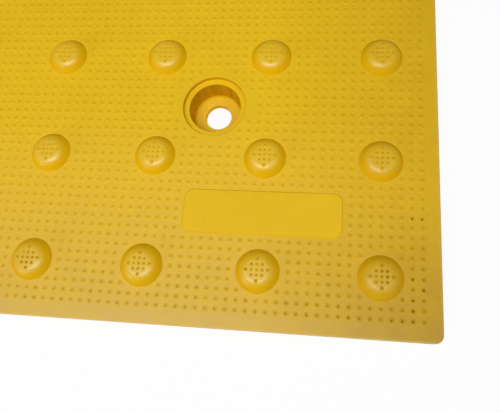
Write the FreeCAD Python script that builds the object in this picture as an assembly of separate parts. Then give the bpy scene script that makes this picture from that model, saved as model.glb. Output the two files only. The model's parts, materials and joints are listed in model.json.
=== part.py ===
import FreeCAD, Part
import math
import os

from FreeCAD import Vector

# Tactile warning tile, moulded in one piece from glass-filled polymer and set into fresh concrete.
# The face carries rows of truncated domes and a bare name pad. A stepped pocket near each corner takes
# a bolt head below the face. A grid of ribs under the face keys into the concrete.
# Millimetres. Origin at the middle of the tile, on the plane of the rib feet. Z points up, domes on top.

# Face sheet
dome_pitch = 60.96              # centre to centre of neighbouring domes, both ways
domes_per_side = 10
laying_gap = 1.6                # joint left between this tile and the next one
sheet_thickness = 4.76
corner_radius = 4.5             # of the outline, seen from above
edge_radius = 1.0               # rounding of the upper edge

# Truncated domes
dome_base_diameter = 22.86
dome_top_diameter = 13.2
dome_height = 5.08              # to the tips of the fine points on the top
dome_flats = 14                 # around each dome, few because there are so many domes
dome_tiers = 2                  # of flats between the base and the flat top

# Name pad, left bare
pad_length = 84.0
pad_width = 24.0
pad_height = 0.5
pad_corner_radius = 5.0

# Fastener pockets
seat_diameter = 35.6            # shallow seat for a cover cap
seat_depth = 2.54
pocket_mouth_diameter = 29.2
pocket_floor_diameter = 27.6
pocket_depth = 15.24            # from the face to the pocket's floor
bolt_hole_diameter = 15.0
pocket_floor_thickness = 3.18
boss_wall = 4.0

# Ribs under the face
rib_root_thickness = 3.6
rib_foot_thickness = 2.6
rim_setback = 7.0               # from the tile's edge to the outer side of the rib around it

# How far a fused solid reaches into its neighbour, and a cutter past the faces it opens
overlap = 1.0

# Worked out from the sizes above
tile_side = domes_per_side * dome_pitch - laying_gap
face_z = pocket_depth + pocket_floor_thickness
sheet_underside_z = face_z - sheet_thickness
outer_dome = (domes_per_side - 1) / 2 * dome_pitch
dome_places = [k * dome_pitch - outer_dome for k in range(domes_per_side)]
fastener_offset = outer_dome - 1.5 * dome_pitch
rib_lines = [x + dome_pitch / 2 for x in dome_places[:-1]]
rim_line = tile_side / 2 - rim_setback - rib_root_thickness / 2
pad_centre = (outer_dome - dome_pitch, dome_pitch / 2 - outer_dome)


def polygon_face(points):
    return Part.Face(Part.makePolygon(points + points[:1]))


def turned(points):
    """Turns a closed polygon of (radius, height) points once around Z."""
    face = polygon_face([Vector(r, 0, z) for r, z in points])
    return face.revolve(Vector(0, 0, 0), Vector(0, 0, 1), 360)


def flat_sided(rings):
    """A solid through a stack of polygons, each with as many corners as the next."""
    faces = [polygon_face(rings[0]), polygon_face(rings[-1])]
    for low, high in zip(rings, rings[1:]):
        for k in range(len(low)):
            faces.append(polygon_face([low[k - 1], low[k], high[k], high[k - 1]]))
    return Part.makeSolid(Part.makeShell(faces))


def rounded_plate(length, width, height, radius):
    """A plate with round upright edges, standing on Z = 0 and centred on Z."""
    plate = Part.makeBox(length, width, height, Vector(-length / 2, -width / 2, 0))
    upright = [e for e in plate.Edges if abs(e.tangentAt(e.FirstParameter).z) > 0.5]
    return plate.makeFillet(radius, upright)


def face_sheet():
    """The square sheet, with its upper edge rounded over."""
    plate = rounded_plate(tile_side, tile_side, sheet_thickness, corner_radius)
    upper = [e for e in plate.Edges if e.BoundBox.ZMin > sheet_thickness / 2]
    plate = plate.makeFillet(edge_radius, upper)
    return plate.translated(Vector(0, 0, sheet_underside_z))


def dome():
    """One dome on its root: a ball cut flat on top, its flank laid out in tiers of flats."""
    base = dome_base_diameter / 2
    top = dome_top_diameter / 2
    ball_drop = (base**2 - top**2 - dome_height**2) / (2 * dome_height)
    ball = math.hypot(base, ball_drop)
    foot_angle = math.atan2(base, ball_drop)
    brow_angle = math.atan2(top, ball_drop + dome_height)
    tier_angle = (brow_angle - foot_angle) / dome_tiers

    def ring(radius, z):
        turns = [2 * math.pi * (k + 0.5) / dome_flats for k in range(dome_flats)]
        return [Vector(radius * math.cos(t), radius * math.sin(t), z) for t in turns]

    rings = [ring(base, -overlap)]
    for tier in range(dome_tiers + 1):
        angle = foot_angle + tier * tier_angle
        rings.append(ring(ball * math.sin(angle), ball * math.cos(angle) - ball_drop))
    return flat_sided(rings)


def domes():
    one = dome()
    return [one.translated(Vector(x, y, face_z)) for x in dome_places for y in dome_places]


def name_pad():
    pad = rounded_plate(pad_length, pad_width, pad_height + overlap, pad_corner_radius)
    return pad.translated(Vector(*pad_centre, face_z - overlap))


def rib_cell(left, right, front, back):
    """The hollow between four rib lines, which narrows from the feet up to the sheet."""
    draft = (rib_root_thickness - rib_foot_thickness) / sheet_underside_z

    def ring(z):
        half = (rib_foot_thickness + draft * z) / 2
        corners = [(left + half, front + half), (right - half, front + half),
                   (right - half, back - half), (left + half, back - half)]
        return [Vector(x, y, z) for x, y in corners]

    return flat_sided([ring(-overlap), ring(sheet_underside_z)])


def rib_grid():
    """Ribs on the lines between the domes, closed by a rib around the edge."""
    reach = rim_line + rib_root_thickness / 2
    block = Part.makeBox(2 * reach, 2 * reach, sheet_underside_z + overlap, Vector(-reach, -reach, 0))
    lines = [-rim_line] + rib_lines + [rim_line]
    spans = list(zip(lines, lines[1:]))
    cells = [rib_cell(*x_span, *y_span) for x_span in spans for y_span in spans]
    return block.cut(cells)


def boss():
    """The tapered body around one pocket, from its foot up into the sheet."""
    foot = pocket_floor_diameter / 2 + boss_wall
    root = pocket_mouth_diameter / 2 + boss_wall
    return Part.makeCone(foot, root, sheet_underside_z + overlap)


def stepped_pocket():
    """What the mould takes out: cap seat, tapered pocket and bolt hole on one axis."""
    seat = seat_diameter / 2
    mouth = pocket_mouth_diameter / 2
    floor = pocket_floor_diameter / 2
    bolt = bolt_hole_diameter / 2
    seat_z = face_z - seat_depth
    return turned([(0, -overlap), (bolt, -overlap), (bolt, pocket_floor_thickness),
                   (floor, pocket_floor_thickness), (mouth, seat_z), (seat, seat_z),
                   (seat, face_z + overlap), (0, face_z + overlap)])


def at_fasteners(solid):
    places = [(x, y) for x in (-fastener_offset, fastener_offset) for y in (-fastener_offset, fastener_offset)]
    return [solid.translated(Vector(x, y, 0)) for x, y in places]


tile = face_sheet().fuse([rib_grid(), name_pad(), *at_fasteners(boss()), *domes()])
tile = tile.removeSplitter().cut(at_fasteners(stepped_pocket()))

os.makedirs("parts", exist_ok=True)
tile.exportStep("parts/tactile_tile.step")
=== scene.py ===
import json
import math

import bmesh
import bpy
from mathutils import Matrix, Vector


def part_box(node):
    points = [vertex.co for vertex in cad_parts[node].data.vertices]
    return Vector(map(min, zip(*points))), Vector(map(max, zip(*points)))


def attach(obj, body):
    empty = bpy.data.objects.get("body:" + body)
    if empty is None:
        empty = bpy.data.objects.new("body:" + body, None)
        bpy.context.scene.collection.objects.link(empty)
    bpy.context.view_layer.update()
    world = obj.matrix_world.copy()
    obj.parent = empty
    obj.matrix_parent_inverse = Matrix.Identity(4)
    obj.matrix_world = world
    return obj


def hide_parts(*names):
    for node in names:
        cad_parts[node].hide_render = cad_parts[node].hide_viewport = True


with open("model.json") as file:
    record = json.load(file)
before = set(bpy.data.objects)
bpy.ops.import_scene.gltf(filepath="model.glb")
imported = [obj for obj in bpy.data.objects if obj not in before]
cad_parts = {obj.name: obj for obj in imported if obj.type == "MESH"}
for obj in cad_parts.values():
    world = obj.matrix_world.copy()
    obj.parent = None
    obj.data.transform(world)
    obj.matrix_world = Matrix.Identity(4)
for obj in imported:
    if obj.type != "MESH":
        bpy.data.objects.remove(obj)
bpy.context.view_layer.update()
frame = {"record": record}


# Face sheet: the flat square body of the tile, moulded from yellow glass-filled polymer.
# Domes, pad, pockets and ribs are moulded with it in one piece. Its corners are round and its
# upper edge is softened.

tile_low, tile_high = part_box("tactile_tile")
tile_side = tile_high[0] - tile_low[0]
dome_rise = 0.00508             # of the dome tips above the face
sheet_thickness = 0.00476
corner_radius = 0.0045
corner_steps = 8
edge_radius = 0.001
edge_steps = 4
face_z = tile_high[2] - dome_rise
sheet_underside_z = face_z - sheet_thickness
hair = 1e-5                     # heights that differ by less are the same


def edit(piece):
    bpy.ops.object.select_all(action="DESELECT")
    piece.select_set(True)
    bpy.context.view_layer.objects.active = piece
    bpy.ops.object.mode_set(mode="EDIT")


def leave_edit():
    bpy.ops.object.mode_set(mode="OBJECT")


def pick(piece, kind, wanted):
    """Selects the faces or edges that pass a test, and nothing else, on a piece in edit mode."""
    bpy.ops.mesh.select_mode(type=kind)
    bpy.ops.mesh.select_all(action="DESELECT")
    shape = bmesh.from_edit_mesh(piece.data)
    for element in shape.faces if kind == "FACE" else shape.edges:
        if wanted(element):
            element.select_set(True)
    shape.select_flush_mode()
    bmesh.update_edit_mesh(piece.data)


def upright(edge):
    low, high = sorted(vertex.co.z for vertex in edge.verts)
    return high - low > hair


def on_top(edge):
    return all(abs(vertex.co.z - face_z) < hair for vertex in edge.verts)


def block(name, size, low_z, high_z, centre=(0, 0)):
    """Adds a plain box between two heights, to be shaped further."""
    bpy.ops.object.select_all(action="DESELECT")
    bpy.ops.mesh.primitive_cube_add(size=1, location=(*centre, (low_z + high_z) / 2))
    piece = bpy.context.object
    piece.name = name
    piece.scale = (*size, high_z - low_z)
    bpy.ops.object.transform_apply(location=True, rotation=False, scale=True)
    return piece


tile = block("tile_body", (tile_side, tile_side), sheet_underside_z, face_z)
edit(tile)
pick(tile, "EDGE", upright)
bpy.ops.mesh.bevel(offset=corner_radius, segments=corner_steps, affect="EDGES")
pick(tile, "EDGE", on_top)
bpy.ops.mesh.bevel(offset=edge_radius, segments=edge_steps, affect="EDGES")
leave_edit()


# Ribs: thin walls under the sheet, moulded with it, that key into the concrete.
# They run on the lines between the domes, closed by a rib a little back from the tile's edge, and
# taper from the sheet to their feet.

rim_setback = 0.007
rib_root_thickness = 0.0036
rib_foot_thickness = 0.0026
overlap = 0.001                 # of one shape into the next before they are joined
level_normal = 0.9              # a face lies level if its normal goes further up or down than this
bolts = next(m for m in frame["record"]["mounts"] if m["name"] == "fasteners")
bolt_spacing = bolts["dims"]["spacing_x_mm"] / 1000
dome_pitches_between_bolts = 6
dome_pitch = bolt_spacing / dome_pitches_between_bolts
domes_per_side = 10
outer_dome = (domes_per_side - 1) / 2 * dome_pitch
dome_places = [k * dome_pitch - outer_dome for k in range(domes_per_side)]
rib_lines = [place + dome_pitch / 2 for place in dome_places[:-1]]
rib_reach = tile_side / 2 - rim_setback
rib_draft = (rib_root_thickness - rib_foot_thickness) / 2


def foot_face(face):
    return face.normal.z < -level_normal and abs(face.calc_center_median().z) < hair


def cell_face(face):
    """A face between the rib feet, told from the feet by its width."""
    return foot_face(face) and min(edge.calc_length() for edge in face.edges) > rim_setback


def moulded(piece, tool, operation, places=((0, 0),)):
    """Joins a tool's shape to a piece, or takes it out, at each place, and clears the tool away."""
    for x, y in places:
        tool.location = (x, y, 0)
        step = piece.modifiers.new("mould", "BOOLEAN")
        step.operation = operation
        step.solver = "EXACT"
        step.object = tool
        bpy.context.view_layer.update()
        bpy.context.view_layer.objects.active = piece
        bpy.ops.object.modifier_apply(modifier=step.name)
    bpy.data.objects.remove(tool)


ribs = block("ribs", (2 * rib_reach, 2 * rib_reach), 0, sheet_underside_z + overlap)
edit(ribs)
pick(ribs, "FACE", foot_face)
bpy.ops.mesh.inset(thickness=rib_foot_thickness / 2)
for rib_line in rib_lines:
    for across in (Vector((1, 0, 0)), Vector((0, 1, 0))):
        pick(ribs, "FACE", cell_face)
        bpy.ops.mesh.bisect(plane_co=across * rib_line, plane_no=across)
pick(ribs, "FACE", cell_face)
bpy.ops.mesh.inset(thickness=rib_foot_thickness / 2, use_individual=True)
bpy.ops.mesh.inset(thickness=rib_draft, depth=-sheet_underside_z, use_individual=True)
leave_edit()
moulded(tile, ribs, "UNION")


# Fastener pockets: one tapered boss near each corner, moulded hollow from above in two steps.
# The shallow upper step seats a cover cap, the deep one takes a bolt head and washer, and the
# bolt passes through a hole in its floor.

seat_radius = 0.0178
seat_depth = 0.00254
mouth_radius = 0.0146
floor_radius = 0.0138
floor_fillet = 0.002
fillet_steps = 6
pocket_depth = 0.01524
bolt_radius = bolts["dims"]["hole_r_mm"] / 1000
boss_wall = 0.004
rim_round = 0.0004              # of the upper rim of each step and of the bolt hole
rim_steps = 3
pocket_sides = 64
weld = 1e-6                     # vertices closer than this become one
smooth_angle = math.radians(35)
pocket_floor_z = face_z - pocket_depth
seat_z = face_z - seat_depth
bolt_lines = (-bolt_spacing / 2, bolt_spacing / 2)
bolt_places = [(x, y) for x in bolt_lines for y in bolt_lines]


def welded():
    """Merges the double vertices of the piece in edit mode."""
    bpy.ops.mesh.select_all(action="SELECT")
    bpy.ops.mesh.remove_doubles(threshold=weld)


def turned(name, outline, sides):
    """Draws an outline of (radius, height) points by extruding a vertex, and spins it once round Z."""
    bpy.ops.object.select_all(action="DESELECT")
    bpy.ops.mesh.primitive_plane_add()
    piece = bpy.context.object
    piece.name = name
    bpy.ops.object.mode_set(mode="EDIT")
    bpy.ops.mesh.select_mode(type="VERT")
    bpy.ops.mesh.select_all(action="SELECT")
    bpy.ops.mesh.merge(type="CENTER")
    bpy.ops.transform.translate(value=(outline[0][0], 0, outline[0][1]))
    for (r, z), (next_r, next_z) in zip(outline, outline[1:]):
        bpy.ops.mesh.extrude_region_move(TRANSFORM_OT_translate={"value": (next_r - r, 0, next_z - z)})
    bpy.ops.mesh.select_all(action="SELECT")
    bpy.ops.mesh.spin(steps=sides, angle=2 * math.pi, center=(0, 0, 0), axis=(0, 0, 1))
    welded()
    bpy.ops.mesh.normals_make_consistent(inside=False)
    leave_edit()
    return piece


def arc(centre_r, centre_z, radius, start, end, count):
    """Points on a round stretch of an outline, by their angle from straight up, without the first."""
    turns = [start + (end - start) * k / count for k in range(1, count + 1)]
    return [(centre_r + radius * math.sin(t), centre_z + radius * math.cos(t)) for t in turns]


def rim(radius, top_z):
    """The end of an upright wall, rounded over onto the level surface above it."""
    wall_end = (radius, top_z - rim_round)
    return [wall_end] + arc(radius + rim_round, top_z - rim_round, rim_round, -math.pi / 2, 0, rim_steps)


def smoothed(piece):
    """Shades the round stretches smooth and keeps the large flat faces flat."""
    bpy.ops.object.select_all(action="DESELECT")
    piece.select_set(True)
    bpy.context.view_layer.objects.active = piece
    bpy.ops.object.shade_smooth_by_angle(angle=smooth_angle)
    step = piece.modifiers.new("flat_faces", "WEIGHTED_NORMAL")
    step.keep_sharp = True
    bpy.ops.object.modifier_apply(modifier=step.name)


boss_top_z = sheet_underside_z + overlap
boss_outline = [(0, 0), (floor_radius + boss_wall, 0)]
boss_outline += [(mouth_radius + boss_wall, boss_top_z), (0, boss_top_z)]
boss = turned("boss", boss_outline, pocket_sides)
moulded(tile, boss, "UNION", bolt_places)

fillet_r = floor_radius - floor_fillet
fillet_z = pocket_floor_z + floor_fillet
pocket_outline = [(0, -overlap), (bolt_radius, -overlap)]
pocket_outline += rim(bolt_radius, pocket_floor_z)
pocket_outline += [(fillet_r, pocket_floor_z)]
pocket_outline += arc(fillet_r, fillet_z, floor_fillet, math.pi, math.pi / 2, fillet_steps)
pocket_outline += rim(mouth_radius, seat_z)
pocket_outline += [(seat_radius, seat_z)]
pocket_outline += rim(seat_radius, face_z)
pocket_outline += [(seat_radius + rim_round, face_z + overlap), (0, face_z + overlap)]
pocket = turned("pocket", pocket_outline, pocket_sides)
moulded(tile, pocket, "DIFFERENCE", bolt_places)

edit(tile)
welded()
leave_edit()
smoothed(tile)


# Moulding compound: glass-filled polymer, yellow right through, cloudy and finely grained.
# Use leaves brown dust toward the edges, pale dust along the front and back, grit on the tips of
# the fine points and grime on the pocket walls. Mixed in with these is painted light: painted shade
# on the slopes, toward the edges, on the point tips and on the pocket walls, and painted sheen
# along the front and back. Level parts keep a soft shine, the domes most.

yellow = (0.75, 0.46, 0.010, 1)
bright_yellow = (0.80, 0.505, 0.012, 1)
deep_yellow = (0.71, 0.41, 0.008, 1)
grain_yellow = (0.87, 0.57, 0.018, 1)
slope_shade_yellow = (0.76, 0.435, 0.001, 1)
wall_grime_and_shade = (0.5, 0.21, 0.002, 1)
brown_dust_and_shade = (0.25, 0.12, 0.015, 1)
pale_dust_and_sheen = (0.62, 0.49, 0.32, 1)
tip_grit_and_shade = (0.2, 0.095, 0.003, 1)


def node(tree, kind, inputs=None, **settings):
    """Adds a shader node with its settings, sets or links its inputs, and gives its outputs."""
    made = tree.nodes.new("ShaderNode" + kind)
    for name, value in settings.items():
        setattr(made, name, value)
    for socket, value in (inputs or {}).items():
        if isinstance(value, bpy.types.NodeSocket):
            tree.links.new(value, made.inputs[socket])
        else:
            made.inputs[socket].default_value = value
    return made.outputs


def between(tree, value, low, high, to_low=0.0, to_high=1.0):
    """Goes evenly from one number to another while a value goes from low to high."""
    steps = {"Value": value, "From Min": low, "From Max": high, "To Min": to_low, "To Max": to_high}
    return node(tree, "MapRange", steps)["Result"]


def math_node(tree, operation, first, *others):
    """Takes two or more values together, one after the other, by one operation."""
    for other in others:
        first = node(tree, "Math", {0: first, 1: other}, operation=operation)[0]
    return first


def mixed(tree, share, first, second):
    """Goes from the first colour to the second while the share goes from nought to one."""
    return node(tree, "Mix", {"Factor": share, 6: first, 7: second}, data_type="RGBA")[2]


marks = bpy.data.node_groups.new("moulded_polymer", "ShaderNodeTree")
for name in ("Dust and Painted Light", "Smoothness"):
    marks.interface.new_socket(name, in_out="INPUT", socket_type="NodeSocketFloat")
marks.interface.new_socket("Color", in_out="OUTPUT", socket_type="NodeSocketColor")
for name in ("Roughness", "Height", "Coat"):
    marks.interface.new_socket(name, in_out="OUTPUT", socket_type="NodeSocketFloat")
given = marks.nodes.new("NodeGroupInput").outputs

# What the marks go by: height, distance from the middle, how level the surface is, and the tips of points
position = node(marks, "TexCoord")["Object"]
up = node(marks, "SeparateXYZ", {0: position})["Z"]
reach = node(marks, "SeparateXYZ", {0: node(marks, "VectorMath", {0: position}, operation="ABSOLUTE")[0]})
level = node(marks, "SeparateXYZ", {0: node(marks, "NewGeometry")["Normal"]})["Z"]
on_point = node(marks, "Attribute", attribute_name="point_tip")["Fac"]


def noise(vector, scale, detail, roughness=0.5):
    settings = {"Vector": vector, "Scale": scale, "Detail": detail, "Roughness": roughness}
    return node(marks, "TexNoise", settings)["Fac"]


def toward_edge(from_middle, far, near, at_far=0.0, at_near=1.0):
    """Goes from one number to another between two distances from the tile's edge."""
    return between(marks, from_middle, tile_side / 2 - far, tile_side / 2 - near, at_far, at_near)


def over_face(start, end, at_start=0.0, at_end=1.0):
    """Goes from one number to another between two heights over the face, negative below it."""
    return between(marks, up, face_z + start, face_z + end, at_start, at_end)


on_dome = over_face(0.0008, 0.002)

# Body colour: cloudy, with deeper blotches, pale grain, and a deeper orange painted on slopes as shade
clouds = noise(position, scale=8, detail=4, roughness=0.6)
blotches = noise(position, scale=70, detail=5, roughness=0.65)
grain = noise(position, scale=900, detail=3, roughness=0.6)
worn_edge = toward_edge(math_node(marks, "MAXIMUM", reach["X"], reach["Y"]), far=0.0015, near=0.0003)
slope_shade = math_node(marks, "SUBTRACT", between(marks, level, 0.97, 0.75, 0, 0.85), worn_edge)
color = mixed(marks, between(marks, clouds, 0.3, 0.7), yellow, bright_yellow)
color = mixed(marks, between(marks, blotches, 0.4, 0.75, 0, 0.35), color, deep_yellow)
color = mixed(marks, between(marks, grain, 0.4, 0.8, 0, 0.55), color, grain_yellow)
color = mixed(marks, slope_shade, color, slope_shade_yellow)

# Grime in streaks down the pocket walls, from the cap seat to the floor, with painted shade: the
# walls' deep orange-brown stands in for the shade and bounced light down in the pocket
streaks = node(marks, "Mapping", {"Vector": position, "Scale": (320, 320, 12)})["Vector"]
streaks = between(marks, noise(streaks, scale=1, detail=2), 0.3, 0.6, 0.67, 0.26)
in_pocket = math_node(marks, "MULTIPLY", over_face(-0.0022, -0.0026), over_face(-0.0157, -0.0152))
pocket_grime_and_shade = math_node(marks, "MULTIPLY", between(marks, level, 0.5, 0.2), streaks, in_pocket)
color = mixed(marks, pocket_grime_and_shade, color, wall_grime_and_shade)

# Brown dust toward the edges, most of it in the corners, with painted shade there for light that
# falls off toward the edges
side_rim = toward_edge(reach["X"], far=0.09, near=0.004, at_near=0.75)
front_rim = toward_edge(reach["Y"], far=0.07, near=0.004, at_near=0.65)
corner = math_node(marks, "MULTIPLY", side_rim, front_rim)
near_edge = math_node(marks, "ADD", side_rim, front_rim, corner)
patchy = between(marks, blotches, 0.3, 0.7, 0.8, 1)
lying = between(marks, level, 0.4, 0.99, 0.4, 1)
edge_dust_and_shade = math_node(marks, "MULTIPLY", near_edge, patchy, lying, given["Dust and Painted Light"])
color = mixed(marks, edge_dust_and_shade, color, brown_dust_and_shade)

# Pale dust low in the pockets and on the worn outer edge, and along the front and back pale dust
# with painted sheen
dust_and_sheen_drift = math_node(marks, "ADD", toward_edge(reach["Y"], far=0.12, near=0.015, at_near=0.125),
                  toward_edge(reach["Y"], far=0.012, near=0.004, at_near=0.11))
dust_and_sheen_drift = math_node(marks, "MULTIPLY", dust_and_sheen_drift, between(marks, blotches, 0.3, 0.7, 0.8, 1.2),
                  toward_edge(reach["X"], far=0.12, near=0.01, at_far=1, at_near=0.25))
dust_and_sheen_drift = math_node(marks, "MAXIMUM", dust_and_sheen_drift, over_face(-0.005, -0.014, at_end=0.06))
dust_and_sheen_drift = math_node(marks, "MULTIPLY", dust_and_sheen_drift, between(marks, on_dome, 0, 1, 1, 0.15),
                  between(marks, level, 0.8, 0.98, 0.05, 1), between(marks, on_point, 0.3, 0.9, 1, 0.3),
                  between(marks, given["Dust and Painted Light"], 0.05, 0.36, 0.1, 1))
dust_and_sheen_drift = math_node(marks, "MAXIMUM", dust_and_sheen_drift, math_node(marks, "MULTIPLY", worn_edge, 0.35))
color = mixed(marks, dust_and_sheen_drift, color, pale_dust_and_sheen)

# Grit and painted shade on the tips of the points, more by the front and back, and grit packed hard
# on a few near the corners
uneven = between(marks, noise(position, scale=120, detail=1), 0.35, 0.65, 0.45, 1)
by_edge = math_node(marks, "ADD", between(marks, front_rim, 0, 0.65, 0.22, 0.62),
                    between(marks, corner, 0, 0.4, 0, 0.35))
loose_grit_and_shade = math_node(marks, "MULTIPLY", between(marks, on_point, 0.2, 1.6, 0, 1.72), uneven, by_edge)
here_and_there = between(marks, noise(position, scale=95, detail=1), 0.55, 0.6)
packed = math_node(marks, "MULTIPLY", here_and_there, between(marks, side_rim, 0.6, 0.65),
                   between(marks, front_rim, 0.03, 0.1, 0, 0.9), between(marks, on_point, 0.3, 0.7))
grit_and_shade = math_node(marks, "MAXIMUM", loose_grit_and_shade, packed)
color = mixed(marks, grit_and_shade, color, tip_grit_and_shade)

# Roughness, raised by all that lies on the polymer, and the fine relief of its skin
rough = math_node(marks, "SUBTRACT", between(marks, blotches, 0.3, 0.7, 0.36, 0.44), given["Smoothness"])
for layer, share in ((edge_dust_and_shade, 0.3), (grit_and_shade, 0.5), (pocket_grime_and_shade, 0.5)):
    rough = math_node(marks, "ADD", rough, math_node(marks, "MULTIPLY", layer, share))
rough = math_node(marks, "ADD", rough, between(marks, on_point, 0, 0.1, 0, 0.3))
ripple = noise(position, scale=220, detail=2)
relief = math_node(marks, "ADD", math_node(marks, "MULTIPLY", grain, 0.35), ripple)

# Shine of level, clean parts, in full on the domes
shine = math_node(marks, "MULTIPLY", between(marks, on_dome, 0, 1, 0.27, 1),
                  between(marks, level, 0.7, 0.88), between(marks, on_point, 0, 0.1, 1, 0.25),
                  between(marks, in_pocket, 0, 1, 1, 0.1), between(marks, pocket_grime_and_shade, 0, 0.3, 1, 0),
                  between(marks, edge_dust_and_shade, 0.02, 0.3, 1, 0.55),
                  between(marks, given["Smoothness"], 0, 0.07, 1, 0.6))

result = marks.nodes.new("NodeGroupOutput").inputs
for name, value in (("Color", color), ("Roughness", rough), ("Height", relief), ("Coat", shine)):
    marks.links.new(value, result[name])


def polymer_finish(name, dust_and_painted_light, smoothness):
    """The compound's finish, with more or less dust and painted light, and smoother or rougher from the
    mould.
    """
    made = bpy.data.materials.new(name)
    made.use_nodes = True
    tree = made.node_tree
    shader = tree.nodes["Principled BSDF"]
    look = tree.nodes.new("ShaderNodeGroup")
    look.node_tree = marks
    look.inputs["Dust and Painted Light"].default_value = dust_and_painted_light
    look.inputs["Smoothness"].default_value = smoothness
    skin = node(tree, "Bump", {"Height": look.outputs["Height"], "Strength": 0.5, "Distance": 0.0001})
    tree.links.new(look.outputs["Color"], shader.inputs["Base Color"])
    tree.links.new(look.outputs["Roughness"], shader.inputs["Roughness"])
    tree.links.new(look.outputs["Coat"], shader.inputs["Coat Weight"])
    tree.links.new(skin["Normal"], shader.inputs["Normal"])
    shader.inputs["Specular IOR Level"].default_value = 0.03
    shader.inputs["Coat Roughness"].default_value = 0.39
    shader.inputs["Coat IOR"].default_value = 1.62
    return made


polymer = polymer_finish("yellow_polymer", dust_and_painted_light=0.36, smoothness=0.0)
tile.data.materials.append(polymer)
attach(tile, "root")
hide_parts("tactile_tile")


# Name pad: a low smooth plate in the moulding, left bare, between two rows of domes.
# Its corners are round and its rim slopes down to the face.

pad_length = 0.084
pad_width = 0.024
pad_height = 0.0005
pad_edge_height = 0.00005       # of the upright edge below the slope
pad_slope = 0.00055             # how wide the sloping rim is
pad_corner_radius = 0.005
pad_centre = (outer_dome - dome_pitch, dome_pitch / 2 - outer_dome)

pad = block("name_pad", (pad_length, pad_width), face_z - overlap, face_z + pad_edge_height, pad_centre)
edit(pad)
pick(pad, "EDGE", upright)
bpy.ops.mesh.bevel(offset=pad_corner_radius, segments=corner_steps, affect="EDGES")
pick(pad, "FACE", lambda face: face.normal.z > level_normal)
bpy.ops.mesh.inset(thickness=pad_slope, depth=pad_height - pad_edge_height)
leave_edit()
pad.data.materials.append(polymer_finish("smooth_polymer", dust_and_painted_light=0.05, smoothness=0.07))
smoothed(pad)
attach(pad, "root")


# Truncated domes: round warning studs in the moulding, ten rows of ten on a square grid.
# Each is a ball cut flat on top, with a soft shoulder and a sharp line where it meets the face.

dome_base_radius = 0.01143
dome_top_radius = 0.0066
dome_point_height = 0.00055
dome_height = dome_rise - dome_point_height
dome_root = 0.0005              # sunk into the face
dome_sides = 36
flank_steps = 4
shoulder_radius = 0.0055
shoulder_steps = 3

ball_drop = (dome_base_radius**2 - dome_top_radius**2 - dome_height**2) / (2 * dome_height)
ball_radius = math.hypot(dome_base_radius, ball_drop)
foot_angle = math.atan2(dome_base_radius, ball_drop)
shoulder_z = dome_height - shoulder_radius
shoulder_r = math.sqrt((ball_radius - shoulder_radius)**2 - (shoulder_z + ball_drop)**2)
brow_angle = math.atan2(shoulder_r, shoulder_z + ball_drop)
dome_outline = [(0, -dome_root), (dome_base_radius, -dome_root), (dome_base_radius, 0)]
dome_outline += arc(0, -ball_drop, ball_radius, foot_angle, brow_angle, flank_steps)
dome_outline += arc(shoulder_r, shoulder_z, shoulder_radius, brow_angle, 0, shoulder_steps)
dome_outline += [(0, dome_height)]

domes = turned("domes", dome_outline, dome_sides)
domes.location = (-outer_dome, -outer_dome, face_z)
bpy.ops.object.transform_apply(location=True, rotation=False, scale=False)
for step in ((dome_pitch, 0, 0), (0, dome_pitch, 0)):
    row = domes.modifiers.new("row", "ARRAY")
    row.count = domes_per_side
    row.use_relative_offset = False
    row.use_constant_offset = True
    row.constant_offset_displace = step
    bpy.ops.object.modifier_apply(modifier=row.name)
domes.data.materials.append(polymer)
smoothed(domes)
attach(domes, "root")


# Anti-slip points on the face: low bell-shaped bumps in the moulding, twelve to a dome pitch each way.
# They leave the border, the pad, and a ring round every dome and pocket smooth.

points_per_dome_pitch = 12
point_pitch = dome_pitch / points_per_dome_pitch
point_rows_past_domes = 4
dome_ring = 2.7 * point_pitch   # clear round a dome's centre
pocket_ring = 4.2 * point_pitch
pad_gap = 0.0019
point_height = 0.00064
point_root = 0.0001             # sunk into the face
point_sides = 6
point_outline = [(0.00235, -point_root), (0.00105, 0.0002), (0.00048, 0.00051), (0, point_height)]


def bump(name, outline, sides, tip_darkening, least_darkening=0.1):
    """One round bump, turned from its outline. Each vertex keeps how much of the tip's grit and painted
    shade is there.
    """
    height = outline[-1][1]
    piece = turned(name, outline, sides)
    tips = piece.data.attributes.new("point_tip", "FLOAT", "POINT")
    for vertex, tip in zip(piece.data.vertices, tips.data):
        tip.value = max(tip_darkening * vertex.co.z / height, least_darkening)
    return piece


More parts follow.
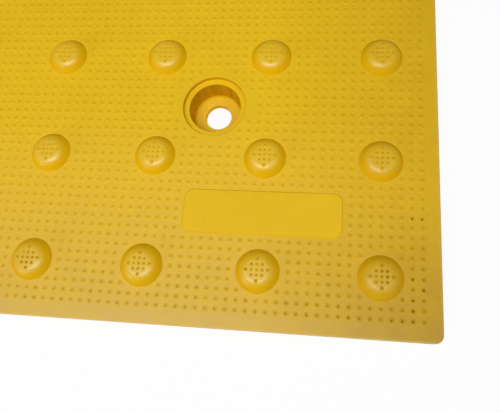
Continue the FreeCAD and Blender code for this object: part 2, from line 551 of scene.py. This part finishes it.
def stand(name, one_bump, places, seed, smallest=0.9):
    """Stands a bump on every place as one mesh, some of them a little smaller than the pattern."""
    mesh = bpy.data.meshes.new(name)
    mesh.from_pydata(places, [], [])
    piece = bpy.data.objects.new(name, mesh)
    bpy.context.collection.objects.link(piece)
    layout = bpy.data.node_groups.new(name, "GeometryNodeTree")
    layout.interface.new_socket("Geometry", in_out="INPUT", socket_type="NodeSocketGeometry")
    layout.interface.new_socket("Geometry", in_out="OUTPUT", socket_type="NodeSocketGeometry")
    start = layout.nodes.new("NodeGroupInput")
    pattern = layout.nodes.new("GeometryNodeObjectInfo")
    size = layout.nodes.new("FunctionNodeRandomValue")
    copies = layout.nodes.new("GeometryNodeInstanceOnPoints")
    real = layout.nodes.new("GeometryNodeRealizeInstances")
    end = layout.nodes.new("NodeGroupOutput")
    pattern.inputs["Object"].default_value = one_bump
    size.data_type = "FLOAT"
    size.inputs[2].default_value = smallest     # Min of a plain number
    size.inputs[3].default_value = 1.0          # Max of a plain number
    size.inputs["Seed"].default_value = seed
    layout.links.new(start.outputs[0], copies.inputs["Points"])
    layout.links.new(pattern.outputs["Geometry"], copies.inputs["Instance"])
    layout.links.new(size.outputs[1], copies.inputs["Scale"])
    layout.links.new(copies.outputs[0], real.inputs[0])
    layout.links.new(real.outputs[0], end.inputs[0])
    step = piece.modifiers.new("layout", "NODES")
    step.node_group = layout
    bpy.ops.object.select_all(action="DESELECT")
    piece.select_set(True)
    bpy.context.view_layer.objects.active = piece
    bpy.ops.object.modifier_apply(modifier=step.name)
    bpy.data.node_groups.remove(layout)
    piece.data.materials.clear()
    piece.data.materials.append(polymer)
    bpy.ops.object.shade_smooth()
    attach(piece, "root")


def off_domes(x, y):
    dome_x = min(dome_places, key=lambda place: abs(place - x))
    dome_y = min(dome_places, key=lambda place: abs(place - y))
    return math.hypot(x - dome_x, y - dome_y) > dome_ring


def off_pockets(x, y):
    return all(math.hypot(x - bolt_x, y - bolt_y) > pocket_ring for bolt_x, bolt_y in bolt_places)


def off_pad(x, y):
    dx = abs(x - pad_centre[0])
    dy = abs(y - pad_centre[1])
    return dx > pad_length / 2 + pad_gap or dy > pad_width / 2 + pad_gap


def on_field(x, y):
    return off_domes(x, y) and off_pockets(x, y) and off_pad(x, y)


last_point = round(outer_dome / point_pitch) + point_rows_past_domes
point_lines = [k * point_pitch for k in range(-last_point, last_point + 1)]
field_places = [(x, y, face_z) for x in point_lines for y in point_lines if on_field(x, y)]
# The field points' tips are darkened by grit and painted shade.
field_bump = bump("field_bump", point_outline, point_sides, tip_darkening=1.0)
stand("field_points_front", field_bump, [place for place in field_places if place[1] < 0], seed=1)
stand("field_points_back", field_bump, [place for place in field_places if place[1] >= 0], seed=2)
bpy.data.objects.remove(field_bump)


# Anti-slip points on the domes: thirteen smaller bumps in a diamond on each flat top.
# They are moulded with the domes, and their tips are the highest part of the tile.

dome_point_pitch = 0.0027
dome_point_radius = 0.00105
dome_point_root = 0.00025       # sunk into the dome
dome_point_sides = 8
diamond_reach = 2               # pitches from the middle to each end
waist_radius = 0.52 * dome_point_radius
waist_z = 0.58 * dome_point_height
flank_slope = (dome_point_radius - waist_radius) / waist_z
root_radius = dome_point_radius + flank_slope * dome_point_root
dome_point_outline = [(root_radius, -dome_point_root), (waist_radius, waist_z), (0, dome_point_height)]


def dome_top_z(x, y):
    past_flat = max(math.hypot(x, y) - shoulder_r, 0)
    return face_z + shoulder_z + math.sqrt(shoulder_radius**2 - past_flat**2)


steps = range(-diamond_reach, diamond_reach + 1)
diamond = [(i * dome_point_pitch, j * dome_point_pitch)
           for i in steps for j in steps if abs(i) + abs(j) <= diamond_reach]
dome_point_places = [(x + dx, y + dy, dome_top_z(dx, dy))
                     for x in dome_places for y in dome_places for dx, dy in diamond]
# The dome points' tips are darkened more, by grit and painted shade.
dome_bump = bump("dome_bump", dome_point_outline, dome_point_sides, tip_darkening=1.6)
stand("dome_points", dome_bump, dome_point_places, seed=3)
bpy.data.objects.remove(dome_bump)


# Floor and light: a plain white floor under one long soft lamp.
# A panel at the right and a low one at the front left fill the shaded slopes, and the pale walls
# of the room give a faint even light.

floor_side = 20
floor_gap = 0.0002              # under the rib feet
floor_white = (0.9, 0.9, 0.9, 1)
floor_glow = 0.9                # share of plain white that the eye sees on the floor
room_light = 0.08
wall_white = 0.85
ceiling_grey = 0.05

bpy.ops.object.select_all(action="DESELECT")
bpy.ops.mesh.primitive_plane_add(size=floor_side, location=(0, 0, -floor_gap))
floor = bpy.context.object
floor.name = "floor"
paint = bpy.data.materials.new("floor_paint")
paint.use_nodes = True
tree = paint.node_tree
shader = tree.nodes["Principled BSDF"]
shader.inputs["Base Color"].default_value = floor_white
shader.inputs["Roughness"].default_value = 0.9


def seen_share(tree):
    """One for a ray that sees the background, straight or in a reflection, and nought for light."""
    ray = node(tree, "LightPath")
    return math_node(tree, "MAXIMUM", ray["Is Glossy Ray"], ray["Is Transmission Ray"], ray["Is Camera Ray"])


def soft_panel(name, place, turn, size, power):
    """A flat rectangular lamp. Its turn is in degrees round X, Y and Z, from facing straight down."""
    bpy.ops.object.light_add(type="AREA", location=place, rotation=[math.radians(a) for a in turn])
    panel = bpy.context.object
    panel.name = name
    panel.data.shape = "RECTANGLE"
    panel.data.size = size[0]
    panel.data.size_y = size[1]
    panel.data.energy = power
    return panel


white_share = math_node(tree, "MULTIPLY", seen_share(tree), floor_glow)
white = node(tree, "Emission")["Emission"]
both = node(tree, "MixShader", {0: white_share, 1: shader.outputs["BSDF"], 2: white})["Shader"]
tree.links.new(both, tree.nodes["Material Output"].inputs["Surface"])
floor.data.materials.append(paint)

soft_panel("strip_lamp", place=(-0.08, -0.62, 1.5), turn=(0, 0, 0), size=(1.44, 0.5), power=20.5)
fill = soft_panel("fill_panel", place=(1.2, -0.4, 1.3), turn=(0, 38, 0), size=(1.0, 1.0), power=6)
fill.visible_camera = False
fill.visible_glossy = False
side = soft_panel("side_panel", place=(-1.3, -1.4, 0.5), turn=(75, 0, -49), size=(0.7, 0.7), power=7)
side.visible_camera = False

room = bpy.data.worlds.new("room")
room.use_nodes = True
tree = room.node_tree
background = tree.nodes["Background"]
background.inputs["Color"].default_value = (1, 1, 1, 1)
upward = node(tree, "SeparateXYZ", {0: node(tree, "TexCoord")["Generated"]})["Z"]
walls = between(tree, upward, 0.1, 0.2, wall_white, ceiling_grey)
tree.links.new(between(tree, seen_share(tree), 0, 1, room_light, walls), background.inputs["Strength"])
bpy.context.scene.world = room


# Camera: above the front right corner of the tile, looking down past the pad to one pocket.
# It has a plain lens with no shift and no blur.

camera_place = (0.24051, -0.30848, 0.27309)
camera_turn = (15.367, 6.359, 4.073)        # degrees round X, Y and Z
focal_length = 36.41                        # millimetres

bpy.ops.object.camera_add(location=camera_place, rotation=[math.radians(a) for a in camera_turn])
camera = bpy.context.object
camera.data.lens = focal_length
bpy.context.scene.camera = camera
bpy.context.scene.view_settings.view_transform = "Standard"
